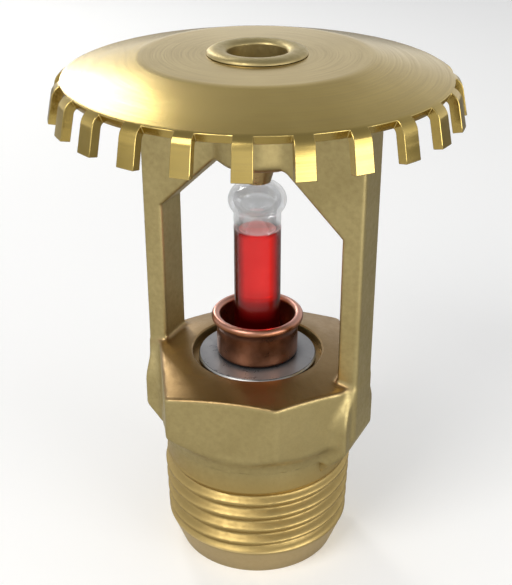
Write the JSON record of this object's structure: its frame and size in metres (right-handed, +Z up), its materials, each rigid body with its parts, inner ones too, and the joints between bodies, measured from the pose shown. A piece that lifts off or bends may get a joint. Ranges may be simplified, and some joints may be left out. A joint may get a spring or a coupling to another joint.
{
  "type": "upright fire sprinkler head",
  "caption": "Upright glass-bulb fire sprinkler head: threaded brass frame with two arms, toothed round deflector above, and a red-filled bulb holding a copper cap on the waterway.",
  "frame": {"origin": "centre of the inlet end face, at the lower end of the pipe thread", "axes": "+Z up along the waterway towards the deflector; the two frame arms stand on the X axis; -Y is the front, facing a wrench flat"},
  "size_m": [0.0412, 0.0412, 0.0576],
  "materials": {
    "cast_brass": "cast and machined brass, satin, olive-gold",
    "sheet_brass": "pressed sheet brass, circular brushed",
    "screw_brass": "turned brass",
    "bulb_glass": "clear polished glass",
    "red_liquid": "clear red liquid",
    "copper": "drawn copper, slightly tarnished",
    "stainless_steel": "turned stainless steel",
    "nickel_alloy": "cold rolled nickel alloy",
    "ptfe_film": "grey PTFE film"
  },
  "bodies": {
    "frame": {"frame": "cast_brass", "deflector": "sheet_brass"},
    "cap": {"pip_cap": "copper", "cap_insert": "stainless_steel", "belleville_spring": "nickel_alloy", "seal_film_upper": "ptfe_film", "seal_film_lower": "ptfe_film"},
    "bulb": {"glass_bulb": "bulb_glass", "bulb_liquid": "red_liquid"},
    "load_screw": {"load_screw": "screw_brass"}
  },
  "joints": [
    {"name": "bulb_lift", "type": "slide", "parent": "frame", "child": "bulb", "axis": [0, 0, 1], "range_m": [0, 0.0024]},
    {"name": "load_screw_turn", "type": "hinge", "parent": "bulb", "child": "load_screw", "pos_m": [0, 0, 0.049], "axis": [0, 0, 1], "range_deg": [0, 1081.2]},
    {"name": "cap_lift", "type": "slide", "parent": "frame", "child": "cap", "axis": [0, 0, 1], "range_m": [0, 0.000352]}
  ],
  "couplings": [
    {"joint": "load_screw_turn", "follows": "bulb_lift", "rad_per_m": 7854},
    {"joint": "cap_lift", "follows": "bulb_lift", "ratio": 0.14583}
  ]
}
